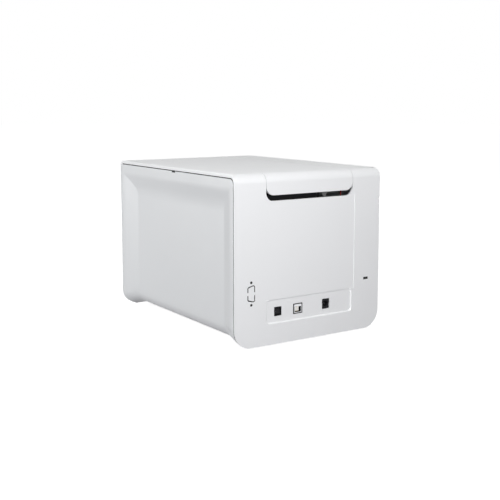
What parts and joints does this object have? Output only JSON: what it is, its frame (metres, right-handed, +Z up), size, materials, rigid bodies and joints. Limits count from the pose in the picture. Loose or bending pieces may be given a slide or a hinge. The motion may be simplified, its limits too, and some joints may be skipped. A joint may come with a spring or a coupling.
{
  "type": "plastic card printer",
  "caption": "Desktop plastic card printer with a hinged lid whose tongue wraps over the rear edge, dished side covers, a front card hopper and a rear socket bay.",
  "frame": {"origin": "on the resting plane, below the middle of the object's box", "axes": "+X towards the side with the D-shaped knock-out, -Y the front with the card hopper, +Y the rear with the sockets, +Z up"},
  "size_m": [0.205, 0.31, 0.195],
  "materials": {
    "white_plastic": "fine satin",
    "side_plastic": "fine satin",
    "dark_plastic": "fine grain",
    "smoked_window": "clear smoked",
    "clear_plastic": "polished",
    "grey_plastic": "satin",
    "steel": "rolled",
    "black_steel": "black coated sheet",
    "bright_steel": "ground",
    "zinc_screw": "zinc plated",
    "rubber": "matt",
    "grey_rubber": "matt",
    "blue_tacky_rubber": "glossy",
    "board": "solder mask",
    "component_black": "moulded",
    "ribbon": "thin film",
    "white_gear": "moulded",
    "aluminium": "extruded",
    "wire_red": "insulation",
    "brass": "machined"
  },
  "bodies": {
    "base": {"base_tray": "white_plastic", "rubber_feet": "rubber", "top_and_rear_cover": "white_plastic", "side_cover_right": "side_plastic", "side_cover_left": "side_plastic", "front_cover": "white_plastic", "lid_hinge_pins": "bright_steel", "lid_hinge_brackets": "white_plastic", "light_guides": "clear_plastic", "front_board": "board", "hopper_housing": "dark_plastic", "feeder_tray": "dark_plastic", "stacker_bay": "dark_plastic", "frame_right": "steel", "frame_left": "steel", "rear_cross_plate": "black_steel", "tie_rods": "bright_steel", "roller_bushes": "brass", "lower_card_guide": "component_black", "timing_belt": "rubber", "feed_motor": "steel", "ribbon_film": "ribbon", "ribbon_motor": "steel", "main_board": "board", "usb_socket": "bright_steel", "power_jack": "component_black", "power_switch_body": "component_black", "board_components": "component_black", "cooling_fan_frame": "component_black", "lid_sensor": "grey_plastic", "sensor_wires": "wire_red", "pan_head_screws": "zinc_screw", "knock_out_caps": "component_black"},
    "lid_assembly": {"lid": "white_plastic", "head_carrier": "steel", "head_springs": "bright_steel"},
    "print_head_assembly": {"print_head": "aluminium", "head_heatsink": "aluminium"},
    "feeder_door": {"feeder_door": "smoked_window"},
    "card_weight": {"card_weight": "grey_plastic"},
    "card_gauge": {"card_gauge": "grey_plastic"},
    "output_tray": {"output_tray": "dark_plastic"},
    "control_button": {"control_button": "grey_plastic"},
    "power_rocker": {"power_rocker": "grey_plastic"},
    "pick_roller": {"pick_roller": "grey_rubber", "pick_pulley": "white_gear"},
    "front_drive_roller": {"front_drive_roller": "grey_rubber", "front_drive_pulley": "white_gear"},
    "platen_roller": {"platen_roller": "rubber", "platen_pulley": "white_gear"},
    "rear_drive_roller": {"rear_drive_roller": "grey_rubber", "rear_drive_pulley": "white_gear"},
    "front_pinch_roller": {"front_pinch_roller": "bright_steel"},
    "rear_pinch_roller": {"rear_pinch_roller": "bright_steel"},
    "cleaning_roller": {"cleaning_roller": "blue_tacky_rubber"},
    "feed_motor_shaft": {"feed_motor_pulley": "brass"},
    "supply_spool": {"supply_spool": "ribbon"},
    "take_up_spool": {"take_up_spool": "white_gear"},
    "ribbon_motor_shaft": {"ribbon_motor_gear": "brass"},
    "fan_rotor": {"fan_rotor": "component_black"}
  },
  "joints": [
    {"name": "lid_hinge", "type": "hinge", "parent": "base", "child": "lid_assembly", "pos_m": [0, 0.137, 0.187], "axis": [-1, 0, 0], "range_deg": [0, 95]},
    {"name": "print_head_float", "type": "slide", "parent": "lid_assembly", "child": "print_head_assembly", "axis": [0, 0, 1], "range_m": [0, 0.002], "stiffness_N_per_m": 1500, "springref_m": -0.003, "deforming": ["head_springs"]},
    {"name": "feeder_door_hinge", "type": "hinge", "parent": "base", "child": "feeder_door", "pos_m": [-0.04, -0.15385, 0.125], "axis": [0, 0, -1], "range_deg": [0, 110]},
    {"name": "card_weight_slide", "type": "slide", "parent": "base", "child": "card_weight", "axis": [0, 0, 1], "range_m": [0, 0.03]},
    {"name": "card_gauge_slide", "type": "slide", "parent": "base", "child": "card_gauge", "axis": [0, 0, 1], "range_m": [0, 0.001]},
    {"name": "output_tray_slide", "type": "slide", "parent": "base", "child": "output_tray", "axis": [0, -1, 0], "range_m": [0, 0.04]},
    {"name": "control_button_push", "type": "slide", "parent": "base", "child": "control_button", "axis": [0, 1, 0], "range_m": [0, 0.001], "stiffness_N_per_m": 250, "springref_m": -0.0005},
    {"name": "power_rocker_tilt", "type": "hinge", "parent": "base", "child": "power_rocker", "pos_m": [0.044, 0.15, 0.0397], "axis": [-1, 0, 0], "range_deg": [0, 12]},
    {"name": "pick_roller_turn", "type": "hinge", "parent": "base", "child": "pick_roller", "pos_m": [0, -0.08, 0.104], "axis": [1, 0, 0], "continuous": true},
    {"name": "front_drive_roller_turn", "type": "hinge", "parent": "base", "child": "front_drive_roller", "pos_m": [0, -0.022, 0.104], "axis": [1, 0, 0], "continuous": true},
    {"name": "platen_roller_turn", "type": "hinge", "parent": "base", "child": "platen_roller", "pos_m": [0, 0.006, 0.104], "axis": [1, 0, 0], "continuous": true},
    {"name": "rear_drive_roller_turn", "type": "hinge", "parent": "base", "child": "rear_drive_roller", "pos_m": [0, 0.036, 0.104], "axis": [1, 0, 0], "continuous": true},
    {"name": "feed_motor_turn", "type": "hinge", "parent": "base", "child": "feed_motor_shaft", "pos_m": [0, 0.002, 0.062], "axis": [1, 0, 0], "continuous": true},
    {"name": "front_pinch_roller_turn", "type": "hinge", "parent": "base", "child": "front_pinch_roller", "pos_m": [0, -0.022, 0.118], "axis": [1, 0, 0], "continuous": true},
    {"name": "rear_pinch_roller_turn", "type": "hinge", "parent": "base", "child": "rear_pinch_roller", "pos_m": [0, 0.036, 0.118], "axis": [1, 0, 0], "continuous": true},
    {"name": "cleaning_roller_turn", "type": "hinge", "parent": "base", "child": "cleaning_roller", "pos_m": [0, -0.048, 0.122], "axis": [1, 0, 0], "continuous": true},
    {"name": "supply_spool_turn", "type": "hinge", "parent": "base", "child": "supply_spool", "pos_m": [0, 0.056, 0.148], "axis": [1, 0, 0], "continuous": true},
    {"name": "take_up_spool_turn", "type": "hinge", "parent": "base", "child": "take_up_spool", "pos_m": [0, -0.04, 0.148], "axis": [1, 0, 0], "continuous": true},
    {"name": "ribbon_motor_turn", "type": "hinge", "parent": "base", "child": "ribbon_motor_shaft", "pos_m": [0, -0.036, 0.126], "axis": [1, 0, 0], "continuous": true},
    {"name": "fan_turn", "type": "hinge", "parent": "base", "child": "fan_rotor", "pos_m": [0, 0, 0.1], "axis": [0, 1, 0], "continuous": true}
  ],
  "couplings": [
    {"joint": "pick_roller_turn", "follows": "platen_roller_turn", "ratio": 1},
    {"joint": "front_drive_roller_turn", "follows": "platen_roller_turn", "ratio": 1},
    {"joint": "rear_drive_roller_turn", "follows": "platen_roller_turn", "ratio": 1},
    {"joint": "feed_motor_turn", "follows": "platen_roller_turn", "ratio": 1},
    {"joint": "ribbon_motor_turn", "follows": "take_up_spool_turn", "ratio": -1.4615}
  ]
}
